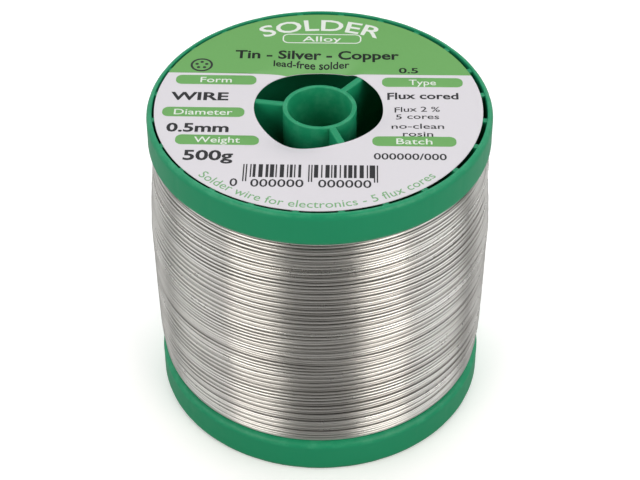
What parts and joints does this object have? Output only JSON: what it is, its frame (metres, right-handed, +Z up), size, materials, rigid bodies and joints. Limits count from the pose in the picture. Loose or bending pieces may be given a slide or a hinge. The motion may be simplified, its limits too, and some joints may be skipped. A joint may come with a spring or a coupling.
{
  "type": "solder wire spool",
  "caption": "Round flanged plastic spool full of thin solder wire, with a paper ring label on its upper flange and an open bore for a holder's spindle.",
  "frame": {"origin": "centre of the face the spool stands on, on the spool's axis", "axes": "+Z up along the spool's axis, away from the face it stands on; the label reads upright when seen from -Y"},
  "size_m": [0.0642, 0.0642, 0.063],
  "materials": {
    "green_plastic": "moulded, semi-gloss",
    "solder_wire": "drawn tin alloy, satin",
    "label_paper": "printed, satin"
  },
  "bodies": {
    "spool": {"spool_half_upper": "green_plastic", "spool_half_lower": "green_plastic", "wire_winding": "solder_wire", "wire_start_end": "solder_wire", "label": "label_paper"},
    "free_end": {"wire_free_end": "solder_wire"}
  },
  "joints": [
    {"name": "free_end_lift", "type": "hinge", "parent": "spool", "child": "free_end", "pos_m": [0.02993, 0.01089, 0.05], "axis": [0, 0, -1], "range_deg": [0, 60]}
  ]
}
